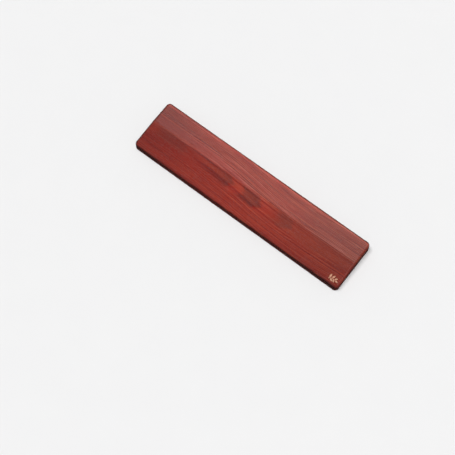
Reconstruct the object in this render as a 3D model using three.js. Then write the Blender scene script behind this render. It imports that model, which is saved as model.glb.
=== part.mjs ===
// A wooden wrist rest for a compact keyboard: one solid board with a two-facet top, six stick-on rubber
// feet with their adhesive discs, and a small foil-stamped sprig near the front right corner.
// Units are millimetres. X runs along the board, +Y points to the keyboard, -Y to the user, +Z is up.
// The origin is on the desk, under the middle of the board.
import * as THREE from "three";
import { mergeVertices } from "three/addons/utils/BufferGeometryUtils.js";

// ---------- driving dimensions ----------
const LENGTH = 360; // along X
const DEPTH = 81.5; // along Y
const LIFT = 1.25; // underside of the board above the desk: rubber foot plus adhesive
const REAR_T = 19.5; // board thickness at the keyboard side
const RIDGE_T = 19; // board thickness at the ridge between the two facets
const FRONT_T = 14.5; // board thickness at the user side
const RIDGE_Y = 3.4; // where the two facets meet
const RIDGE_HALF = 2.4; // half width of the sanded blend along the ridge
const EDGE_R = 4.2; // round-over of the top edge
const CORNER_R = 6; // upright corners, seen from above
const UNDER_R = 1; // eased bottom edge

const FOOT_R = 6; // rubber foot
const FOOT_T = 1;
const FOOT_EASE = 0.35;
const GLUE_R = 5.6; // adhesive disc above each foot
const GLUE_T = LIFT - FOOT_T;
const FOOT_X = [-156, 0, 156];
const FOOT_Y = [-29, 29];

const FOIL_T = 0.2; // stamped foil with its size coat, standing on the front facet
const FOIL_GAP = 0.03;
const MARK_X = 168.4; // middle of the sprig
const MARK_Y = -31.5;

const CORNER_STEPS = 8;
const EDGE_STEPS = 8;
const UNDER_STEPS = 3;
const RIDGE_STEPS = 4;

// ---------- the top surface ----------
const slopeRear = (REAR_T - RIDGE_T) / (DEPTH / 2 - RIDGE_Y);
const slopeFront = (RIDGE_T - FRONT_T) / (DEPTH / 2 + RIDGE_Y);

// Height of the top surface over the desk at depth y, before the edges are rounded.
function topZ(y) {
  const d = y - RIDGE_Y;
  const flat = LIFT + RIDGE_T;
  if (d >= RIDGE_HALF) return flat + slopeRear * d;
  if (d <= -RIDGE_HALF) return flat + slopeFront * d;
  // a parabola that leaves both facets at their own slope
  const t = (d + RIDGE_HALF) / (2 * RIDGE_HALF);
  const z0 = flat - slopeFront * RIDGE_HALF;
  return (
    z0 +
    2 * RIDGE_HALF * (slopeFront * t + ((slopeRear - slopeFront) * t * t) / 2)
  );
}

// y values where every outline has a vertex on its two short sides
const ridgeLines = [];
for (let i = 0; i <= RIDGE_STEPS; i++)
  ridgeLines.push(RIDGE_Y - RIDGE_HALF + (2 * RIDGE_HALF * i) / RIDGE_STEPS);

// The outline from above, drawn inwards by inset, as a loop of [x, y] that runs anticlockwise.
function outline(inset) {
  const hx = LENGTH / 2 - inset,
    hy = DEPTH / 2 - inset,
    r = Math.max(CORNER_R - inset, 0.4);
  const points = [];
  const corner = (cx, cy, from) => {
    const arc = new THREE.EllipseCurve(
      cx,
      cy,
      r,
      r,
      from,
      from + Math.PI / 2,
      false,
    );
    for (const p of arc.getPoints(CORNER_STEPS)) points.push([p.x, p.y]);
  };
  corner(hx - r, -hy + r, -Math.PI / 2);
  for (const y of ridgeLines) points.push([hx, y]);
  corner(hx - r, hy - r, 0);
  corner(-hx + r, hy - r, Math.PI / 2);
  for (const y of [...ridgeLines].reverse()) points.push([-hx, y]);
  corner(-hx + r, -hy + r, Math.PI);
  return points;
}

// ---------- the board: outlines stacked from the underside to the top, then the two caps ----------
function boardGeometry() {
  const rings = [];
  for (let i = 0; i <= UNDER_STEPS; i++) {
    const a = (Math.PI / 2) * (i / UNDER_STEPS);
    const inset = UNDER_R * (1 - Math.sin(a));
    const z = LIFT + UNDER_R * (1 - Math.cos(a));
    rings.push(outline(inset).map(([x, y]) => [x, y, z]));
  }
  for (let i = 0; i <= EDGE_STEPS; i++) {
    const a = (Math.PI / 2) * (i / EDGE_STEPS);
    const inset = EDGE_R * (1 - Math.cos(a));
    const drop = EDGE_R * (1 - Math.sin(a));
    rings.push(outline(inset).map(([x, y]) => [x, y, topZ(y) - drop]));
  }
  const n = rings[0].length;
  const position = rings.flat(2);
  const index = [];
  for (let k = 0; k + 1 < rings.length; k++)
    for (let i = 0; i < n; i++) {
      const j = (i + 1) % n,
        a = k * n + i,
        b = k * n + j,
        c = (k + 1) * n + j,
        d = (k + 1) * n + i;
      index.push(a, b, c, a, c, d);
    }
  // underside
  const under = THREE.ShapeUtils.triangulateShape(
    rings[0].map(([x, y]) => new THREE.Vector2(x, y)),
    [],
  );
  for (const [a, b, c] of under) index.push(a, c, b);
  // top, strip by strip so that its edges run along the ridge
  const last = (rings.length - 1) * n,
    c1 = CORNER_STEPS + 1,
    m = ridgeLines.length;
  const right = c1,
    rearRight = right + m,
    rearLeft = rearRight + c1,
    left = rearLeft + c1,
    frontLeft = left + m;
  const fill = (loop) => {
    const flat = loop.map((i) => {
      const [x, y] = rings[rings.length - 1][i];
      return new THREE.Vector2(x, y);
    });
    for (const [a, b, c] of THREE.ShapeUtils.triangulateShape(flat, []))
      index.push(last + loop[a], last + loop[b], last + loop[c]);
  };
  const span = (from, count) =>
    Array.from({ length: count }, (_, i) => from + i);
  fill([...span(0, c1), right, frontLeft - 1, ...span(frontLeft, c1)]);
  for (let i = 0; i + 1 < m; i++)
    fill([right + i, right + i + 1, frontLeft - 2 - i, frontLeft - 1 - i]);
  fill([right + m - 1, ...span(rearRight, c1), ...span(rearLeft, c1), left]);

  const geometry = new THREE.BufferGeometry();
  geometry.setAttribute(
    "position",
    new THREE.Float32BufferAttribute(position, 3),
  );
  geometry.setIndex(index);
  return mergeVertices(geometry, 1e-4);
}

// ---------- a rubber foot and its adhesive disc ----------
function discGeometry(r, t, ease) {
  const profile = ease
    ? [
        [0, 0],
        [r - ease, 0],
        [r - ease * 0.3, ease * 0.3],
        [r, ease],
        [r, t - ease * 0.4],
        [r - ease * 0.4, t],
        [0, t],
      ]
    : [
        [0, 0],
        [r, 0],
        [r, t],
        [0, t],
      ];
  const lathe = new THREE.LatheGeometry(
    profile.map(([x, y]) => new THREE.Vector2(x, y)),
    36,
  );
  return lathe.rotateX(Math.PI / 2);
}

// ---------- the foil sprig: a curved stem and pairs of leaves, each an island of its own ----------
function leafShape(length, width) {
  const s = new THREE.Shape();
  s.moveTo(0, 0);
  s.bezierCurveTo(
    length * 0.22,
    width * 0.72,
    length * 0.68,
    width * 0.62,
    length,
    0,
  );
  s.bezierCurveTo(
    length * 0.68,
    -width * 0.62,
    length * 0.22,
    -width * 0.72,
    0,
    0,
  );
  return s;
}

function stemShape(length, bow, w0, w1) {
  // a thin tapered strip round a quadratic curve
  const curve = new THREE.QuadraticBezierCurve(
    new THREE.Vector2(0, 0),
    new THREE.Vector2(length / 2, bow),
    new THREE.Vector2(length, 0),
  );
  const up = [],
    down = [];
  const steps = 14;
  for (let i = 0; i <= steps; i++) {
    const t = i / steps,
      p = curve.getPoint(t),
      d = curve.getTangent(t),
      w = (w0 + (w1 - w0) * t) / 2;
    up.push(new THREE.Vector2(p.x - d.y * w, p.y + d.x * w));
    down.push(new THREE.Vector2(p.x + d.y * w, p.y - d.x * w));
  }
  return new THREE.Shape([...down, ...up.reverse()]);
}

const foilMaterial = new THREE.MeshStandardMaterial({
  color: 0xcf9a78,
  roughness: 0.42,
  metalness: 0.9,
});
const woodMaterial = new THREE.MeshStandardMaterial({
  color: 0x8a392f,
  roughness: 0.42,
  metalness: 0,
});
const rubberMaterial = new THREE.MeshStandardMaterial({
  color: 0x1b1b1c,
  roughness: 0.8,
  metalness: 0,
});
const glueMaterial = new THREE.MeshStandardMaterial({
  color: 0xd9d4c8,
  roughness: 0.6,
  metalness: 0,
});

const wristRest = new THREE.Group();

const board = new THREE.Mesh(boardGeometry(), woodMaterial);
board.name = "wood_board";
wristRest.add(board);

const sideName = { [FOOT_Y[0]]: "front", [FOOT_Y[1]]: "rear" };
const acrossName = ["left", "middle", "right"];
for (const y of FOOT_Y)
  FOOT_X.forEach((x, i) => {
    const where = `${sideName[y]}_${acrossName[i]}`;
    const foot = new THREE.Mesh(
      discGeometry(FOOT_R, FOOT_T, FOOT_EASE),
      rubberMaterial,
    );
    foot.name = `rubber_foot_${where}`;
    foot.position.set(x, y, 0);
    const glue = new THREE.Mesh(discGeometry(GLUE_R, GLUE_T, 0), glueMaterial);
    glue.name = `adhesive_disc_${where}`;
    glue.position.set(x, y, FOOT_T);
    wristRest.add(foot, glue);
  });

// The front facet's own frame: its x along the board, its z along the facet's normal.
const mark = new THREE.Group();
mark.position.set(MARK_X, MARK_Y, topZ(MARK_Y));
mark.rotation.x = Math.atan(slopeFront);
wristRest.add(mark);

function foil(name, shape, x, y, turn) {
  const geometry = new THREE.ExtrudeGeometry(shape, {
    depth: FOIL_T,
    bevelEnabled: false,
    curveSegments: 7,
  });
  const mesh = new THREE.Mesh(geometry, foilMaterial);
  mesh.name = name;
  mesh.position.set(x, y, FOIL_GAP);
  mesh.rotation.z = turn;
  mark.add(mesh);
}

// The stem starts at x, y, runs at turn degrees and bows to its left.
const STEM = {
  x: -7,
  y: -3.45,
  turn: 14,
  length: 10,
  bow: 2,
  w0: 0.88,
  w1: 0.52,
};
// [name, place along the stem, side, spread in degrees, length, width]
const LEAVES = [
  ["foil_leaf_1", 0.14, 1, 58, 6.2, 2.5],
  ["foil_leaf_2", 0.26, -1, 46, 4.6, 2.2],
  ["foil_leaf_3", 0.5, 1, 52, 5.7, 2.4],
  ["foil_leaf_4", 0.7, -1, 46, 4.4, 2.1],
  ["foil_leaf_5", 0.88, 1, 46, 4.8, 2.2],
  ["foil_leaf_6", 1.0, 0, -8, 4.2, 2.1],
];
const LEAF_GAP = 0.4; // bare wood between a leaf and the stem
const radians = THREE.MathUtils.degToRad;
foil(
  "foil_stem",
  stemShape(STEM.length, STEM.bow, STEM.w0, STEM.w1),
  STEM.x,
  STEM.y,
  radians(STEM.turn),
);
const stemLine = new THREE.QuadraticBezierCurve(
  new THREE.Vector2(0, 0),
  new THREE.Vector2(STEM.length / 2, STEM.bow),
  new THREE.Vector2(STEM.length, 0),
);
const origin = new THREE.Vector2(0, 0);
for (const [name, t, side, spread, length, width] of LEAVES) {
  const d = stemLine.getTangent(t);
  const off = side * ((STEM.w0 + (STEM.w1 - STEM.w0) * t) / 2 + LEAF_GAP);
  const root = stemLine.getPoint(t);
  root.x += -d.y * off + (side ? 0 : d.x * (LEAF_GAP + 0.1));
  root.y += d.x * off + (side ? 0 : d.y * (LEAF_GAP + 0.1));
  root.rotateAround(origin, radians(STEM.turn));
  const turn =
    radians(STEM.turn) + Math.atan2(d.y, d.x) + (side || 1) * radians(spread);
  foil(
    name,
    leafShape(length, width),
    STEM.x + root.x,
    STEM.y + root.y,
    turn,
  );
}

export default wristRest;
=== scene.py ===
import math

import bmesh
import bpy
import numpy as np
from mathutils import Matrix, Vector


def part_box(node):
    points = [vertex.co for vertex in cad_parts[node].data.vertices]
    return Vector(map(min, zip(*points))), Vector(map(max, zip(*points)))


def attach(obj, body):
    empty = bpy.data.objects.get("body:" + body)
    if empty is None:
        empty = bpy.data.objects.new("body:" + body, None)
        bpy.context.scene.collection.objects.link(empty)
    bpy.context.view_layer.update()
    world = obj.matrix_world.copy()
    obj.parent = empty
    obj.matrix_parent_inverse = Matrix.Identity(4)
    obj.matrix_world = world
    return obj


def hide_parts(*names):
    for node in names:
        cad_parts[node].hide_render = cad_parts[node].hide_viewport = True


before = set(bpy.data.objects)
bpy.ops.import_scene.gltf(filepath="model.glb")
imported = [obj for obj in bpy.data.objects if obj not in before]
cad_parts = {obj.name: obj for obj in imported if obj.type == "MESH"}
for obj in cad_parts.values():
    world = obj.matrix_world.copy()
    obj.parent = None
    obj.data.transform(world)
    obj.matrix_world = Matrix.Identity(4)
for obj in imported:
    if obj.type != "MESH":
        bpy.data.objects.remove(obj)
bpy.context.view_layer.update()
scene = bpy.context.scene
MM = 0.001

# ------------------------------------------------------------------ sizes, read from the frame
board_lo, board_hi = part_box("wood_board")
HX = (board_hi[0] - board_lo[0]) / 2 / MM
HY = (board_hi[1] - board_lo[1]) / 2 / MM
Z0 = board_lo[2] / MM
RIDGE_Y = 3.4
RIDGE_HALF = 2.4
RIDGE_T, REAR_T, FRONT_T = 19.0, 19.5, 14.5
EDGE_R, CORNER_R, UNDER_R = 4.2, 6.0, 1.0
SLOPE_REAR = (REAR_T - RIDGE_T) / (HY - RIDGE_Y)
SLOPE_FRONT = (RIDGE_T - FRONT_T) / (HY + RIDGE_Y)


def top_z(y):
    """Height of the top surface, mm, before its edges are rounded, and its slope dz/dy."""
    d = y - RIDGE_Y
    flat = Z0 + RIDGE_T
    if d >= RIDGE_HALF:
        return flat + SLOPE_REAR * d, SLOPE_REAR
    if d <= -RIDGE_HALF:
        return flat + SLOPE_FRONT * d, SLOPE_FRONT
    t = (d + RIDGE_HALF) / (2 * RIDGE_HALF)
    z0 = flat - SLOPE_FRONT * RIDGE_HALF
    z = z0 + 2 * RIDGE_HALF * (SLOPE_FRONT * t + (SLOPE_REAR - SLOPE_FRONT) * t * t / 2)
    return z, SLOPE_FRONT + (SLOPE_REAR - SLOPE_FRONT) * t


# ------------------------------------------------------------------ mesh helpers
def make_object(name, mesh, body="root"):
    o = bpy.data.objects.new(name, mesh)
    scene.collection.objects.link(o)
    return o


def piece(o, nodes, material):
    o.data.materials.clear()
    o.data.materials.append(material)
    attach(o, "root")
    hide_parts(*nodes)
    return o


# ------------------------------------------------------------------ the board
def outline(inset, side_levels, long_steps, corner_steps):
    """Points and outward normals of the plan outline drawn in by inset, anticlockwise from the front right corner."""
    r = CORNER_R - inset
    cx, cy = HX - CORNER_R, HY - CORNER_R
    pts = []

    def arc(sx, sy, a0):
        for i in range(corner_steps + 1):
            a = a0 + math.pi / 2 * i / corner_steps
            n = (math.cos(a), math.sin(a))
            pts.append((sx * cx + r * n[0], sy * cy + r * n[1], n[0], n[1]))

    arc(1, -1, -math.pi / 2)
    for y in side_levels:
        pts.append((HX - inset, y, 1, 0))
    arc(1, 1, 0)
    for i in range(1, long_steps):
        pts.append((cx - 2 * cx * i / long_steps, HY - inset, 0, 1))
    arc(-1, 1, math.pi / 2)
    for y in reversed(side_levels):
        pts.append((-HX + inset, y, -1, 0))
    arc(-1, -1, math.pi)
    for i in range(1, long_steps):
        pts.append((-cx + 2 * cx * i / long_steps, -HY + inset, 0, -1))
    return pts


def board_mesh():
    corner_steps, long_steps = 18, 40
    ridge_steps = 14
    ridge = [RIDGE_Y - RIDGE_HALF + 2 * RIDGE_HALF * i / ridge_steps for i in range(ridge_steps + 1)]
    lower = [-HY + CORNER_R + (ridge[0] + HY - CORNER_R) * i / 5 for i in range(1, 5)]
    upper = [ridge[-1] + (HY - CORNER_R - ridge[-1]) * i / 5 for i in range(1, 5)]
    levels = lower + ridge + upper
    base = outline(0, levels, long_steps, corner_steps)
    n = len(base)
    verts, normals = [], []
    rings = []

    def ring(inset, zfun, nz_fun):
        start = len(verts)
        for (x, y, nx, ny) in outline(inset, levels, long_steps, corner_steps):
            verts.append((x * MM, y * MM, zfun(x, y) * MM))
            normals.append(nz_fun(x, y, nx, ny))
        rings.append(start)

    # underside, its eased edge, the wall and the rounded top edge
    ring(UNDER_R, lambda x, y: Z0, lambda x, y, nx, ny: (0, 0, -1))
    steps = 5
    for i in range(1, steps + 1):
        a = math.pi / 2 * i / steps
        ring(
            UNDER_R * (1 - math.sin(a)),
            lambda x, y, a=a: Z0 + UNDER_R * (1 - math.cos(a)),
            lambda x, y, nx, ny, a=a: (nx * math.sin(a), ny * math.sin(a), -math.cos(a)),
        )
    for f in (0.33, 0.67):
        ring(
            0,
            lambda x, y, f=f: Z0 + UNDER_R + f * (top_z(y)[0] - EDGE_R - Z0 - UNDER_R),
            lambda x, y, nx, ny: (nx, ny, 0),
        )
    steps = 16
    for i in range(steps + 1):
        a = math.pi / 2 * i / steps

        def normal(x, y, nx, ny, a=a):
            s = top_z(y)[1]
            v = Vector((nx * math.cos(a), ny * math.cos(a) - s * math.sin(a), math.sin(a)))
            return tuple(v.normalized())

        ring(
            EDGE_R * (1 - math.cos(a)),
            lambda x, y, a=a: top_z(y)[0] - EDGE_R * (1 - math.sin(a)),
            normal,
        )
    faces = [tuple(range(n - 1, -1, -1))]
    for a, b in zip(rings, rings[1:]):
        for i in range(n):
            j = (i + 1) % n
            faces.append((a + i, a + j, b + j, b + i))
    last = rings[-1]
    c1, m, k = corner_steps + 1, len(levels), long_steps - 1
    right = c1
    rear_right = right + m
    rear_left = rear_right + c1 + k
    left = rear_left + c1
    front_left = left + m

    lo, hi = len(lower), len(lower) + len(ridge) - 1
    R = [last + right + i for i in range(m)]
    L = [last + left + m - 1 - i for i in range(m)]
    front = [last + i for i in range(0, c1)] + R[: lo + 1] + L[: lo + 1][::-1]
    front += [last + i for i in range(front_left, n)]
    faces.append(tuple(front))
    for i in range(lo, hi):
        faces.append((R[i], R[i + 1], L[i + 1], L[i]))
    rear = R[hi:] + [last + i for i in range(rear_right, left)] + L[hi:][::-1]
    faces.append(tuple(rear))
    mesh = bpy.data.meshes.new("board_solid")
    mesh.from_pydata(verts, [], faces)
    mesh.validate()
    for p in mesh.polygons:
        p.use_smooth = True
    mesh.update()
    mesh.normals_split_custom_set_from_vertices(normals)
    return mesh


# ------------------------------------------------------------------ node helpers
class V:
    """A float or vector socket with arithmetic, so that a shader reads like its formula."""

    tree = None

    def __init__(self, s):
        self.s = s

    @staticmethod
    def node(kind, **kw):
        nd = V.tree.nodes.new(kind)
        for k, v in kw.items():
            setattr(nd, k, v)
        return nd

    @staticmethod
    def put(sock, value):
        if isinstance(value, V):
            V.tree.links.new(value.s, sock)
        else:
            sock.default_value = value

    @staticmethod
    def math(op, *args, clamp=False):
        nd = V.node("ShaderNodeMath", operation=op, use_clamp=clamp)
        for i, a in enumerate(args):
            V.put(nd.inputs[i], a)
        return V(nd.outputs[0])

    def __add__(self, o): return V.math("ADD", self, o)
    def __radd__(self, o): return V.math("ADD", o, self)
    def __sub__(self, o): return V.math("SUBTRACT", self, o)
    def __rsub__(self, o): return V.math("SUBTRACT", o, self)
    def __mul__(self, o): return V.math("MULTIPLY", self, o)
    def __rmul__(self, o): return V.math("MULTIPLY", o, self)
    def __truediv__(self, o): return V.math("DIVIDE", self, o)
    def __rtruediv__(self, o): return V.math("DIVIDE", o, self)


def absv(a): return V.math("ABSOLUTE", a)
def sqrt(a): return V.math("SQRT", a)
def power(a, b): return V.math("POWER", a, b)
def fract(a): return V.math("FRACT", a)
def maxv(a, b): return V.math("MAXIMUM", a, b)
def minv(a, b): return V.math("MINIMUM", a, b)


def step(a, lo, hi, to_lo=0.0, to_hi=1.0, smooth=True):
    nd = V.node("ShaderNodeMapRange", interpolation_type="SMOOTHSTEP" if smooth else "LINEAR", clamp=True)
    V.put(nd.inputs["Value"], a)
    nd.inputs["From Min"].default_value = lo
    nd.inputs["From Max"].default_value = hi
    nd.inputs["To Min"].default_value = to_lo
    nd.inputs["To Max"].default_value = to_hi
    return V(nd.outputs["Result"])


def combine(x, y, z):
    nd = V.node("ShaderNodeCombineXYZ")
    for i, a in enumerate((x, y, z)):
        V.put(nd.inputs[i], a)
    return V(nd.outputs[0])


def noise(vec, scale=1.0, detail=2.0, rough=0.5, distortion=0.0):
    """Noise between about 0.2 and 0.8, mean 0.5."""
    nd = V.node("ShaderNodeTexNoise", noise_dimensions="3D")
    V.put(nd.inputs["Vector"], vec)
    nd.inputs["Scale"].default_value = scale
    nd.inputs["Detail"].default_value = detail
    nd.inputs["Roughness"].default_value = rough
    nd.inputs["Distortion"].default_value = distortion
    return V(nd.outputs["Fac"] if "Fac" in nd.outputs else nd.outputs[0])


def voronoi(vec, scale=1.0, feature="F1", randomness=1.0):
    nd = V.node("ShaderNodeTexVoronoi", voronoi_dimensions="3D", feature=feature)
    V.put(nd.inputs["Vector"], vec)
    nd.inputs["Scale"].default_value = scale
    nd.inputs["Randomness"].default_value = randomness
    return V(nd.outputs["Distance"])


def mix_color(fac, a, b):
    nd = V.node("ShaderNodeMix", data_type="RGBA", clamp_factor=True)
    V.put(nd.inputs[0], fac)
    V.put(nd.inputs[6], a)
    V.put(nd.inputs[7], b)
    return V(nd.outputs[2])


def scale_color(color, r, g, b):
    """color times the floats r, g, b."""
    nd = V.node("ShaderNodeVectorMath", operation="MULTIPLY")
    V.put(nd.inputs[0], color)
    V.put(nd.inputs[1], combine(r, g, b))
    return V(nd.outputs[0])


def object_mm():
    """The point in the part's own frame, in millimetres, as three floats."""
    tc = V.node("ShaderNodeTexCoord")
    sc = V.node("ShaderNodeVectorMath", operation="SCALE")
    V.tree.links.new(tc.outputs["Object"], sc.inputs[0])
    sc.inputs["Scale"].default_value = 1000.0
    sp = V.node("ShaderNodeSeparateXYZ")
    V.tree.links.new(sc.outputs[0], sp.inputs[0])
    return [V(sp.outputs[i]) for i in range(3)]


def new_material(name):
    m = bpy.data.materials.new(name)
    m.use_nodes = True
    V.tree = m.node_tree
    m.node_tree.nodes.clear()
    out = V.node("ShaderNodeOutputMaterial")
    bsdf = V.node("ShaderNodeBsdfPrincipled")
    m.node_tree.links.new(bsdf.outputs[0], out.inputs[0])
    return m, bsdf


def bump(height, distance_mm, strength=1.0, normal=None):
    nd = V.node("ShaderNodeBump")
    V.put(nd.inputs["Height"], height)
    nd.inputs["Distance"].default_value = distance_mm * MM
    nd.inputs["Strength"].default_value = strength
    if normal is not None:
        V.put(nd.inputs["Normal"], normal)
    return V(nd.outputs[0])


# ------------------------------------------------------------------ stained wood
def ramp(fac, stops, interpolation="LINEAR"):
    """A grey colour ramp from (position, value) stops."""
    nd = V.node("ShaderNodeValToRGB")
    cr = nd.color_ramp
    cr.interpolation = interpolation
    while len(cr.elements) > 1:
        cr.elements.remove(cr.elements[-1])
    for i, (p, v) in enumerate(stops):
        e = cr.elements[0] if i == 0 else cr.elements.new(p)
        e.position = p
        e.color = (v, v, v, 1)
    V.put(nd.inputs[0], fac)
    return V(nd.outputs[0])


def wood_material():
    m, bsdf = new_material("stained_hardwood")
    x, y, z = object_mm()
    z = z + 0.75

    # the grain drifts towards the front over the middle of the board, more so behind the ridge
    sway = step(x, -80.0, 78.0)
    drift = sway * step(y, -6.0, 13.0, -6.5, -11.5) + step(x, 88.0, 190.0, 0.0, 2.6)
    slow = noise(combine(x * (1 / 95), y * (1 / 34), z * (1 / 34)), 1.0, 1.5)
    slow2 = noise(combine(x * (1 / 34), y * (1 / 9) + 7.3, z * (1 / 9)), 1.0, 2.0)
    yg = y - drift + (slow - 0.5) * 4.0 + (slow2 - 0.5) * 1.6

    # the arches of the flat-sawn heart, which point to the right
    axis = step(x, -165.0, 15.0, -1.5, -7.5, smooth=False)
    comb = noise(combine(x * (1 / 55), y * (1 / 1.05), z * (1 / 1.05)), 1.0, 3.0, 0.7)
    swirl = noise(combine(x * (1 / 17), y * (1 / 6.5) + 3.0, z * (1 / 6.5)), 1.0, 3.0, 0.6)
    ya = y - axis + (slow2 - 0.5) * 4.0 + (swirl - 0.5) * 3.0
    arch = x + ya * ya * 0.10 + (comb - 0.5) * 22.0 + (swirl - 0.5) * 24.0
    stops = [
        (-180, 0.0), (-168, 0.04), (-158, 0.50), (-144, 0.68), (-132, 0.48), (-116, 0.50), (-109, 0.12), (-84, 0.04),
        (-70, 0.36), (-50, 0.60), (-31, 0.95), (-27.5, 0.08), (-18, 0.0), (-9, 0.08), (-4, 0.82), (8, 1.0), (21, 1.15),
        (24, 0.04), (36, 0.0), (50, 0.15), (57, 0.55), (68, 0.90), (76, 0.75), (79, 0.15), (92, 0.35), (108, 0.18),
        (130, 0.40), (150, 0.25), (180, 0.4),
    ]
    heart = ramp((arch + 180.0) * (1 / 360), [((p + 180) / 360, v) for p, v in stops])
    lower = step(ya, -12.5, -6.5)
    upper = step(ya, 9.5, 14.0, 1.0, 0.0)
    zone = lower * upper * step(y, 1.0, 5.0, 1.0, 0.0) * step(z, 12.0, 17.0)
    glow = step(heart, 0.0, 0.14, 1.0, 0.0) * zone * step(absv(x - 12.0), 45.0, 60.0, 1.0, 0.0)
    core = sqrt(power((x - 4.0) * (1 / 18), 2.0) + power((y + 6.0) * (1 / 5.5), 2.0))
    heart = maxv(heart, step(core, 0.45, 1.15, 0.80, 0.0)) * zone

    # a calm strip behind the ridge, which ends where a long line sinks into the ridge
    sink = step(x, -90.0, 25.0, 17.0, 2.2)
    calm = step(sink - y + (slow2 - 0.5) * 1.5, -0.8, 1.8) * step(y, 1.5, 5.0) * step(x, 0.0, 28.0, 1.0, 0.0)

    # growth rings: arcs about an axis far under the board, so they stand close together on its flanks,
    # run as lines along the faces, and show as arcs on the end grain
    zc = z + 9.0
    radius = sqrt(yg * yg + zc * zc)
    uneven = noise(combine(x * (1 / 120), radius * (1 / 4.0), 8.1), 1.0, 1.0)
    t = fract(radius * (1 / 1.3) + (uneven - 0.5) * 2.0)
    late = step(t, 0.42, 0.84) * step(t, 0.88, 1.0, 1.0, 0.0)
    ring_amp = step(noise(combine(x * (1 / 170), radius * (1 / 1.7), 1.9), 1.0, 1.0), 0.30, 0.62, 0.25, 1.0)
    rings = (late * ring_amp - 0.20) * (1.0 - zone * 0.75) * step(y, -5.0, 5.0, 0.62, 1.10) * (1.0 - calm * 0.7)
    rings_b = noise(combine(x * (1 / 130), radius * (1 / 0.55), 4.7), 1.0, 1.0, 0.5)
    rings2 = (step(rings_b, 0.34, 0.66) - 0.5) * (1.0 - calm * 0.5)

    # fibres: long thin streaks along the board
    fx = x + (slow - 0.5) * 20.0
    fib1 = noise(combine(fx * (1 / 60), yg * (1 / 1.25), z * (1 / 1.25)), 1.0, 3.0, 0.68)
    fib2 = noise(combine(fx * (1 / 18), yg * (1 / 0.40), z * (1 / 0.40)), 1.0, 2.0, 0.6)
    # vessels: short dark dashes
    pore_n = noise(combine(x * (1 / 4.2), yg * (1 / 0.23), z * (1 / 0.23)), 1.0, 1.0, 0.5)
    pores = step(pore_n, 0.58, 0.70)

    # uneven stain
    blot = noise(combine(x * (1 / 52), y * (1 / 21), z * (1 / 21)), 1.0, 3.0, 0.55)

    # a few pale strokes where the lines of the rear facet run down into the ridge
    def stroke(path, width, x0, x1, soft, level):
        line = y - path + (slow2 - 0.5) * 1.2
        return step(absv(line), 0.2, width, level, 0.0) * step(x, x0 - soft, x0 + soft) * step(x, x1 - soft, x1 + soft, 1.0, 0.0)

    s1 = stroke(sink - 1.0, 3.4, -130.0, 24.0, 16.0, 0.34)
    s2 = stroke(step(x, -30.0, 80.0, 21.5, 4.5), 2.2, -60.0, 66.0, 14.0, 0.26)
    s3 = stroke(step(x, 80.0, 180.0, 3.2, 7.4), 2.2, 92.0, 158.0, 10.0, 0.35)
    # painted highlight: a paler band along the rear edge
    painted_rear_edge_highlight = step(y, HY - 8.0, HY - 4.0, 0.0, 0.22) * step(y, HY - 3.4, HY - 1.6, 1.0, 0.0)
    pale = s1 + s2 + s3 + painted_rear_edge_highlight + calm * step(x, -150.0, -70.0, 0.04, 0.16)

    light = (0.314, 0.0278, 0.0130, 1)
    deep = (0.178, 0.0200, 0.0116, 1)
    tone = 0.08 + heart * 0.90 + (blot - 0.5) * 0.55 + (fib1 - 0.5) * 0.5 + rings * 0.15
    color = mix_color(tone, light, deep)
    color = mix_color(pale, color, (0.44, 0.070, 0.052, 1))
    # the lines themselves: dark latewood and fibres
    lines = 1.0 - rings * 0.76 - rings2 * 0.30 - (fib1 - 0.5) * 1.02 - (fib2 - 0.5) * 0.68
    # painted shade: the board darkens towards both ends and a little towards the right, standing for light that falls
    # off away from the middle
    ends = step(absv(x + 6.0), 20.0, 182.0, 1.0, 0.74) * step(x, 30.0, 120.0, 1.0, 0.94)
    shade = ends * (1.0 - pores * 0.28) * lines * (1.0 + glow * 0.12)
    # painted shade: the upright faces darken towards the bottom, and the underside with them
    shade = shade * step(z, 9.0, 17.0, 0.86, 1.0)
    # painted highlight: the rear round-over is lightened where the light from behind falls on it
    shade = shade * step(y, HY - 7.5, HY - 3.6, 1.0, 1.22) * step(y, HY - 11.0, HY - 5.5, 1.0, 1.13)
    # painted shade: the outermost strip of the rear edge and the left end's round-over are darkened, and the left part
    # of the board a little
    shade = shade * step(y, HY - 3.7, HY - 1.3, 1.0, 0.46) * step(x, -175.0, -70.0, 0.97, 1.0) * step(x, 0.5 - HX, 5.0 - HX, 0.72, 1.0)
    # painted shade across the upper part of the front face
    front = step(y, 0.9 - HY, 2.3 - HY, 1.0, 0.0)
    shade = shade * (1.0 - front * step(z, 9.0, 12.0) * step(z, 13.3, 15.5, 1.0, 0.0) * 0.48)
    # painted light: the lower part of the front face is lightened, standing for light thrown up from the floor
    shade = shade * (1.0 + front * step(z, 3.5, 9.0, 0.50, 0.0))
    shade = shade * step(y, -34.0, -18.0, 0.965, 1.0) * (1.0 - step(x, -135.0, -90.0, 0.055, 0.0) * step(y, 3.0, 8.0))
    # and the lines are a little stronger in green and blue than in red
    warm = step(x, -150.0, 0.0, 0.84, 1.0) * step(y, -6.0, 5.0, 0.84, 1.04) * step(x, 20.0, 175.0, 1.0, 1.12) * lines * lines * shade * 0.99
    color = scale_color(color, shade, warm, warm)
    V.tree.links.new(color.s, bsdf.inputs["Base Color"])

    rough = 0.25 + (fib1 - 0.5) * 0.12 + pores * 0.12 + (blot - 0.5) * 0.06 + heart * 0.02 + (fib2 - 0.5) * 0.06
    V.tree.links.new(rough.s, bsdf.inputs["Roughness"])
    bsdf.inputs["IOR"].default_value = 1.5
    bsdf.inputs["Specular IOR Level"].default_value = 0.5
    bsdf.inputs["Coat Weight"].default_value = 0.25
    bsdf.inputs["Coat Roughness"].default_value = 0.16
    bsdf.inputs["Coat IOR"].default_value = 1.5
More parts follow.
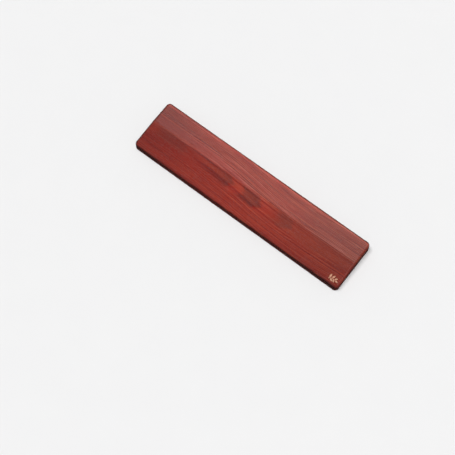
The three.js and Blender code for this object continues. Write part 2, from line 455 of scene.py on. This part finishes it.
    # the planed faces aren't dead flat, and the fibres and vessels stand in the finish
    swell = bump(slow2, 0.30, 1.0)
    height = fib2 * 0.45 + fib1 * 0.55 - rings * 0.25 - pores * 0.9
    V.tree.links.new(bump(height, 0.09, 0.9, swell).s, bsdf.inputs["Normal"])
    return m


wood = wood_material()
board = make_object("board_solid_wood", board_mesh())
piece(board, ["wood_board"], wood)

# ------------------------------------------------------------------ rubber feet and their adhesive
def lathe_mesh(name, profile, steps=64):
    """A closed solid of revolution about Z from (radius, z) points in mm, both ends on the axis."""
    bm = bmesh.new()
    loops = []
    for r, z in profile:
        if r < 1e-6:
            loops.append([bm.verts.new((0, 0, z * MM))])
        else:
            loops.append([
                bm.verts.new((r * math.cos(2 * math.pi * i / steps) * MM, r * math.sin(2 * math.pi * i / steps) * MM, z * MM))
                for i in range(steps)
            ])
    for a, b in zip(loops, loops[1:]):
        for i in range(steps):
            j = (i + 1) % steps
            if len(a) == 1:
                bm.faces.new((a[0], b[j], b[i]))
            elif len(b) == 1:
                bm.faces.new((a[i], a[j], b[0]))
            else:
                bm.faces.new((a[i], a[j], b[j], b[i]))
    bmesh.ops.recalc_face_normals(bm, faces=bm.faces)
    mesh = bpy.data.meshes.new(name)
    bm.to_mesh(mesh)
    bm.free()
    return mesh


def rubber_material():
    m, bsdf = new_material("foot_rubber")
    x, y, z = object_mm()
    grain = noise(combine(x, y, z), 3.2, 3.0, 0.6)
    dust = noise(combine(x, y, z), 0.35, 3.0, 0.6)
    color = mix_color(step(dust, 0.4, 0.75), (0.012, 0.012, 0.013, 1), (0.030, 0.029, 0.028, 1))
    V.tree.links.new(color.s, bsdf.inputs["Base Color"])
    rough = 0.72 + (grain - 0.5) * 0.25
    V.tree.links.new(rough.s, bsdf.inputs["Roughness"])
    V.tree.links.new(bump(grain, 0.04, 0.5).s, bsdf.inputs["Normal"])
    return m


def adhesive_material():
    m, bsdf = new_material("adhesive_foam")
    x, y, z = object_mm()
    cell = noise(combine(x, y, z), 5.0, 2.0, 0.5)
    tint = noise(combine(x, y, z), 0.4, 2.0, 0.5)
    color = mix_color(tint, (0.74, 0.70, 0.61, 1), (0.60, 0.56, 0.47, 1))
    V.tree.links.new(color.s, bsdf.inputs["Base Color"])
    rough = 0.55 + (cell - 0.5) * 0.3
    V.tree.links.new(rough.s, bsdf.inputs["Roughness"])
    V.tree.links.new(bump(cell, 0.03, 0.5).s, bsdf.inputs["Normal"])
    return m


rubber = rubber_material()
foam = adhesive_material()
FOOT_PROFILE = [
    (0, 0.10), (1.6, 0.10), (1.9, 0.0), (2.6, 0.0), (2.9, 0.12), (3.5, 0.12), (3.8, 0.0), (4.9, 0.0),
    (5.35, 0.02), (5.65, 0.08), (5.84, 0.19), (5.92, 0.32), (5.98, 0.5), (6.0, 0.7),
    (5.97, 0.83), (5.89, 0.93), (5.76, 0.985), (5.6, 1.0), (0, 1.0),
]
for name in sorted(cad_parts):
    if not name.startswith(("rubber_foot_", "adhesive_disc_")):
        continue
    lo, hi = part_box(name)
    cx, cy = (lo[0] + hi[0]) / 2, (lo[1] + hi[1]) / 2
    if name.startswith("rubber_foot_"):
        mesh = lathe_mesh("bumper_" + name, FOOT_PROFILE)
        for p in mesh.polygons:
            p.use_smooth = True
        o = make_object("bumper_" + name[12:], mesh)
        mat, slot = rubber, "foot_rubber"
    else:
        prof = [(0, 0), (5.45, 0), (5.55, 0.04), (5.6, 0.125), (5.55, 0.21), (5.45, 0.25), (0, 0.25)]
        mesh = lathe_mesh("tape_" + name, prof, 72)
        # a die-cut edge that isn't quite round
        for v in mesh.vertices:
            r = math.hypot(v.co.x, v.co.y)
            if r > 5 * MM:
                a = math.atan2(v.co.y, v.co.x)
                k = 1 - 0.006 * (1 + math.sin(3 * a + cx * 40)) - 0.004 * (1 + math.sin(11 * a + cy * 90))
                v.co.x *= k
                v.co.y *= k
        o = make_object("tape_" + name[14:], mesh)
        mat, slot = foam, "adhesive"
    for v in o.data.vertices:
        v.co.x += cx
        v.co.y += cy
        v.co.z += lo[2]
    if hasattr(o.data, "set_sharp_from_angle"):
        o.data.set_sharp_from_angle(angle=math.radians(40))
    piece(o, [name], mat)

# ------------------------------------------------------------------ foil sprig
MARK = Vector((168.4, -31.5))
TILT = math.atan(SLOPE_FRONT)


def facet_point(u, v, w):
    """A point of the mark's own frame (mm along the board, up the facet, off the facet) in metres."""
    y0 = MARK.y
    z0 = top_z(y0)[0]
    return Vector((
        (MARK.x + u) * MM,
        (y0 + v * math.cos(TILT) - w * math.sin(TILT)) * MM,
        (z0 + v * math.sin(TILT) + w * math.cos(TILT)) * MM,
    ))


def foil_material():
    m, bsdf = new_material("copper_foil")
    x, y, z = object_mm()
    speck = noise(combine(x, y, z), 4.0, 3.0, 0.6)
    rub = noise(combine(x, y, z), 1.1, 2.0, 0.5)
    color = mix_color(step(rub, 0.35, 0.7), (0.77, 0.445, 0.29, 1), (0.63, 0.345, 0.215, 1))
    V.tree.links.new(color.s, bsdf.inputs["Base Color"])
    bsdf.inputs["Metallic"].default_value = 0.2
    rough = 0.42 + (speck - 0.5) * 0.3
    V.tree.links.new(rough.s, bsdf.inputs["Roughness"])
    V.tree.links.new(bump(speck, 0.02, 0.4).s, bsdf.inputs["Normal"])
    return m


foil = foil_material()


def quad_bezier(p, q, r, t):
    return p * (1 - t) ** 2 + q * 2 * t * (1 - t) + r * t * t


def quad_tangent(p, q, r, t):
    return ((q - p) * 2 * (1 - t) + (r - q) * 2 * t).normalized()


def rot(v, a):
    return Vector((v.x * math.cos(a) - v.y * math.sin(a), v.x * math.sin(a) + v.y * math.cos(a)))


def foil_solid(name, loops):
    """A thin closed plate with an eased top edge over each 2-D loop (mm, anticlockwise, mark frame)."""
    bm = bmesh.new()
    for loop in loops:
        n = len(loop)
        c = sum(loop, Vector((0, 0))) / n
        levels = []
        for inset, w in ((0.0, 0.0), (0.0, 0.09), (0.035, 0.135), (0.10, 0.15)):
            ring = []
            for i, p in enumerate(loop):
                a, b = loop[i - 1], loop[(i + 1) % n]
                d = (b - a).normalized()
                inward = Vector((-d.y, d.x))
                q = p + inward * inset
                ring.append(bm.verts.new(facet_point(q.x, q.y, w + 0.01)))
            levels.append(ring)
        for r0, r1 in zip(levels, levels[1:]):
            for i in range(n):
                j = (i + 1) % n
                bm.faces.new((r0[i], r0[j], r1[j], r1[i]))
        bm.faces.new(levels[-1])
        bm.faces.new(levels[0][::-1])
    mesh = bpy.data.meshes.new(name)
    bm.to_mesh(mesh)
    bm.free()
    return make_object(name, mesh)


STEM = dict(x=-7.0, y=-3.45, turn=math.radians(14), length=10.0, bow=2.0, w0=0.88, w1=0.52)
LEAF_GAP = 0.4
LEAVES = [
    ("foil_leaf_1", 0.14, 1, 58, 6.2, 2.5),
    ("foil_leaf_2", 0.26, -1, 46, 4.6, 2.2),
    ("foil_leaf_3", 0.5, 1, 52, 5.7, 2.4),
    ("foil_leaf_4", 0.7, -1, 46, 4.4, 2.1),
    ("foil_leaf_5", 0.88, 1, 46, 4.8, 2.2),
    ("foil_leaf_6", 1.0, 0, -8, 4.2, 2.1),
]
P0, P1, P2 = Vector((0, 0)), Vector((STEM["length"] / 2, STEM["bow"])), Vector((STEM["length"], 0))
base = Vector((STEM["x"], STEM["y"]))
up, down = [], []
for i in range(25):
    t = i / 24
    p, d = quad_bezier(P0, P1, P2, t), quad_tangent(P0, P1, P2, t)
    w = (STEM["w0"] + (STEM["w1"] - STEM["w0"]) * t) / 2
    nrm = Vector((-d.y, d.x))
    up.append(rot(p + nrm * w, STEM["turn"]) + base)
    down.append(rot(p - nrm * w, STEM["turn"]) + base)
o = foil_solid("sprig_stem", [down + up[::-1]])
piece(o, ["foil_stem"], foil)
for name, t, side, spread, length, width in LEAVES:
    d = quad_tangent(P0, P1, P2, t)
    off = side * ((STEM["w0"] + (STEM["w1"] - STEM["w0"]) * t) / 2 + LEAF_GAP)
    root = quad_bezier(P0, P1, P2, t) + Vector((-d.y, d.x)) * off
    if not side:
        root += d * (LEAF_GAP + 0.1)
    root = rot(root, STEM["turn"])
    turn = STEM["turn"] + math.atan2(d.y, d.x) + (side or 1) * math.radians(spread)

    def edge(s, sign):
        # the same cubic as the leaf's outline
        q = 1 - s
        px = 3 * q * q * s * length * 0.22 + 3 * q * s * s * length * 0.68 + s**3 * length
        py = 3 * q * q * s * width * 0.72 + 3 * q * s * s * width * 0.62
        return Vector((px, sign * py))

    halves = []
    rib = 0.07  # bare midrib between the two halves
    N = 22
    for sign in (1, -1):
        outer = [edge(i / N, sign) for i in range(N + 1)]
        outer = [Vector((p.x, sign * max(abs(p.y), rib + 0.02))) for p in outer]
        inner = [Vector((outer[i].x, sign * rib)) for i in range(1, N)]
        loop = outer + inner[::-1]
        if sign > 0:
            loop = loop[::-1]
        halves.append([rot(p, turn) + root + base for p in loop])
    o = foil_solid("sprig_" + name[5:], halves)
    piece(o, [name], foil)

# ------------------------------------------------------------------ floor, light, camera
def floor_material():
    m, bsdf = new_material("floor_paper")
    x, y, z = object_mm()
    n = noise(combine(x, y, z), 0.02, 2.0, 0.5)
    color = mix_color(n, (0.800, 0.800, 0.803, 1), (0.815, 0.815, 0.816, 1))
    V.tree.links.new(color.s, bsdf.inputs["Base Color"])
    bsdf.inputs["Roughness"].default_value = 0.9
    bsdf.inputs["Specular IOR Level"].default_value = 0.1
    # the sheet glows where the studio light no longer reaches, so that it stays evenly pale to the horizon
    dx, dy = x * MM + 0.5, y * MM + 1.4
    near = 1.0 / (1.0 + (dx * dx + dy * dy) * (1 / 81.0))
    V.tree.links.new((0.80 * (0.94 - near * near)).s, bsdf.inputs["Emission Strength"])
    bsdf.inputs["Emission Color"].default_value = (1, 1, 1, 1)
    return m


bm = bmesh.new()
S = 40.0
vs = [bm.verts.new(p) for p in ((-S, -S, 0), (S, -S, 0), (S, S, 0), (-S, S, 0))]
bm.faces.new(vs)
fm = bpy.data.meshes.new("floor_sheet")
bm.to_mesh(fm)
bm.free()
floor = make_object("floor_sheet", fm)
floor.data.materials.append(floor_material())
floor.visible_glossy = False
floor.visible_diffuse = False


def area_light(name, at, aim, w, h, radiance, shape="RECTANGLE"):
    """An area light given by its radiance, so its size can change without its brightness."""
    L = bpy.data.lights.new(name, "AREA")
    L.shape = shape
    L.size, L.size_y = w, h
    # a Lambertian emitter of power P and area A has radiance P / (A * pi)
    L.energy = radiance * w * h * math.pi * (math.pi / 4 if shape in ("DISK", "ELLIPSE") else 1)
    o = bpy.data.objects.new(name, L)
    o.location = at
    o.rotation_mode = "QUATERNION"
    if aim is not None:  # without an aim it shines straight down, its width along X
        o.rotation_quaternion = (Vector(aim) - Vector(at)).to_track_quat("-Z", "Y")
    scene.collection.objects.link(o)
    return o


def direction(az, el):
    """Unit vector; azimuth 0 is +Y (behind the rest), 90 is +X."""
    a, e = math.radians(az), math.radians(el)
    return Vector((math.sin(a) * math.cos(e), math.cos(a) * math.cos(e), math.sin(e)))


def only_lights(light, name, objects):
    """Restrict a light to some receivers."""
    c = bpy.data.collections.new(name)
    for obj in objects:
        c.objects.link(obj)
    light.light_linking.receiver_collection = c


# the floor's key is a long strip overhead, a little to the front and the left: its short soft shadow falls behind
# the board and to its right
floor_key = area_light("key_floor", (-0.61, -1.43, 9.0), None, 5.9, 2.05, 17.75)
floor_spot = area_light("key_floor_small", (0.51, -1.43, 9.0), None, 1.0, 1.0, 64.0, "DISK")
# the object's key stands over its rear right side, so the front wall and the left edge are in shade
object_key = area_light("key_object", (1.2, 0.4, 4.15), (0, 0, 0), 1.3, 1.3, 36.3, "ELLIPSE")
for lamp in (floor_key, floor_spot, object_key):
    lamp.visible_glossy = False
only_lights(floor_key, "lit_floor", [floor])
only_lights(floor_spot, "lit_floor_small", [floor])
only_lights(object_key, "lit_object", [o for o in scene.objects if o.type == "MESH" and o is not floor])
# the big panel behind is what the rear facet mirrors
panel = area_light("panel_behind", (-0.35, 1.57, 2.0), None, 3.0, 2.1, 1.68)
panel.visible_diffuse = False
# three dimmer ones, which the round-overs at the front, right and left pick up
for name, at, w, h, level in (
    ("panel_front", (-0.65, -1.42, 2.50), 2.1, 1.7, 0.48),
    ("panel_right", (1.60, 0.84, 2.36), 1.9, 1.9, 0.80),
    ("panel_left", (-2.25, 0.84, 1.80), 1.6, 1.6, 0.24),
):
    area_light(name, at, (0, 0, 0), w, h, level).visible_diffuse = False

world = bpy.data.worlds.new("studio")
scene.world = world
world.use_nodes = True
V.tree = world.node_tree
world.node_tree.nodes.clear()
wo = V.node("ShaderNodeOutputWorld")
bg = V.node("ShaderNodeBackground")
world.node_tree.links.new(bg.outputs[0], wo.inputs[0])
tc = V.node("ShaderNodeTexCoord")
sp = V.node("ShaderNodeSeparateXYZ")
world.node_tree.links.new(tc.outputs["Generated"], sp.inputs[0])
elev = V(sp.outputs[2])
level = step(elev, -0.02, -0.003, 0.05, 0.9) * step(elev, 0.10, 0.30, 1.0, 0.19)
world.node_tree.links.new(level.s, bg.inputs["Strength"])
bg.inputs["Color"].default_value = (1, 1, 1, 1)

cam_data = bpy.data.cameras.new("photo_camera")
cam = bpy.data.objects.new("photo_camera", cam_data)
scene.collection.objects.link(cam)
cam_data.sensor_width = 36.0
cam_data.lens = 1290.76 / 455 * 36.0
cam_data.clip_start, cam_data.clip_end = 0.05, 60.0
eye = Vector((397.287, -568.661, 1707.976)) * MM
target = Vector((1.845, -56.092, -0.75)) * MM
cam.location = eye
cam.rotation_mode = "QUATERNION"
cam.rotation_quaternion = (target - eye).to_track_quat("-Z", "Y")
scene.camera = cam
scene.view_settings.view_transform = "Standard"
